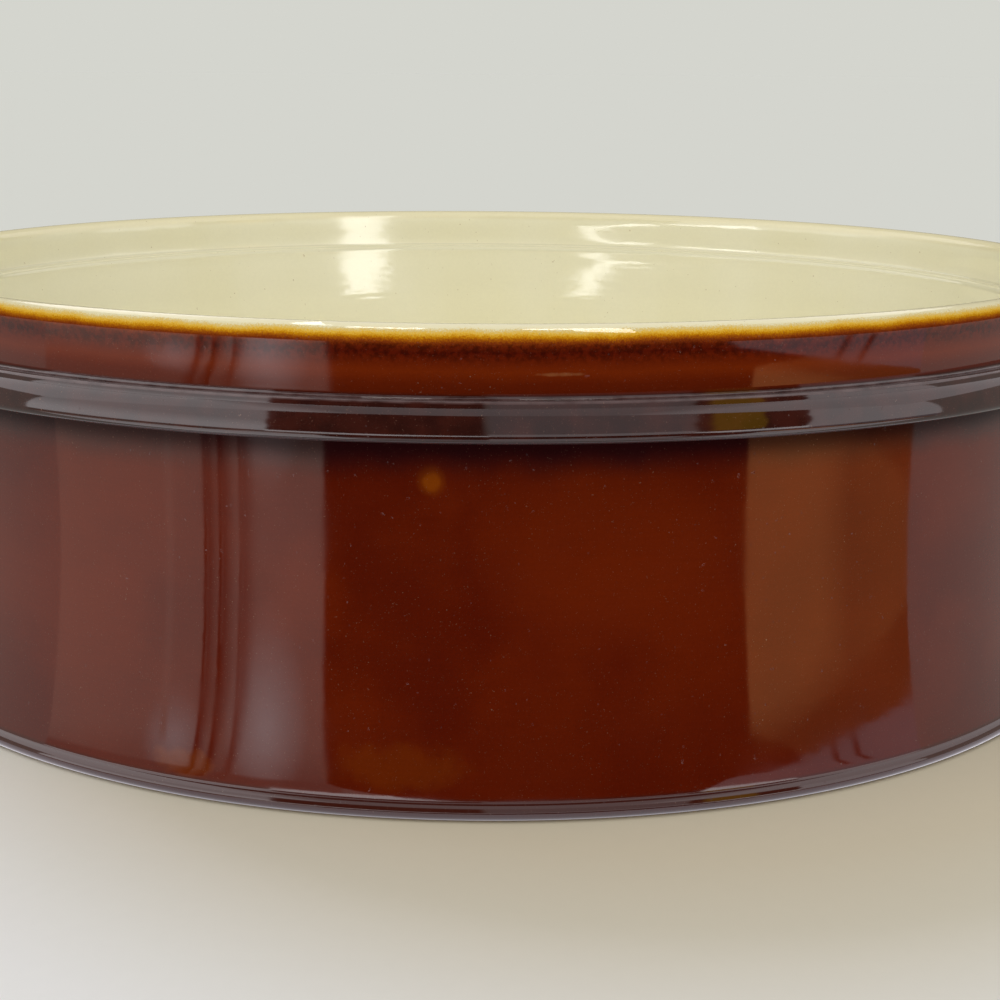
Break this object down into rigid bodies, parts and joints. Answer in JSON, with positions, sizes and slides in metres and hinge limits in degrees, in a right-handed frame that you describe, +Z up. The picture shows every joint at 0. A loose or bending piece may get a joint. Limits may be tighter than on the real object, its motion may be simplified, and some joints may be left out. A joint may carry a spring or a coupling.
{
  "type": "oval casserole dish",
  "caption": "Oval glazed stoneware casserole dish, brown outside and cream inside, with a beaded flange, a lid gallery, lug handles and a bare foot ring.",
  "frame": {"origin": "centre of the foot, on the surface that the dish stands on", "axes": "+X along the dish from lug to lug, +Y across it towards the back, +Z up"},
  "size_m": [0.314, 0.206, 0.088],
  "materials": {
    "stoneware": "bare fired clay, matte",
    "brown_glaze": "glossy treacle-brown glaze",
    "cream_glaze": "glossy cream glaze"
  },
  "bodies": {
    "root": {"stoneware_body": "stoneware", "brown_glaze_coat": "brown_glaze", "cream_glaze_coat": "cream_glaze", "lug_handle_right": "brown_glaze", "lug_handle_left": "brown_glaze"}
  },
  "joints": []
}
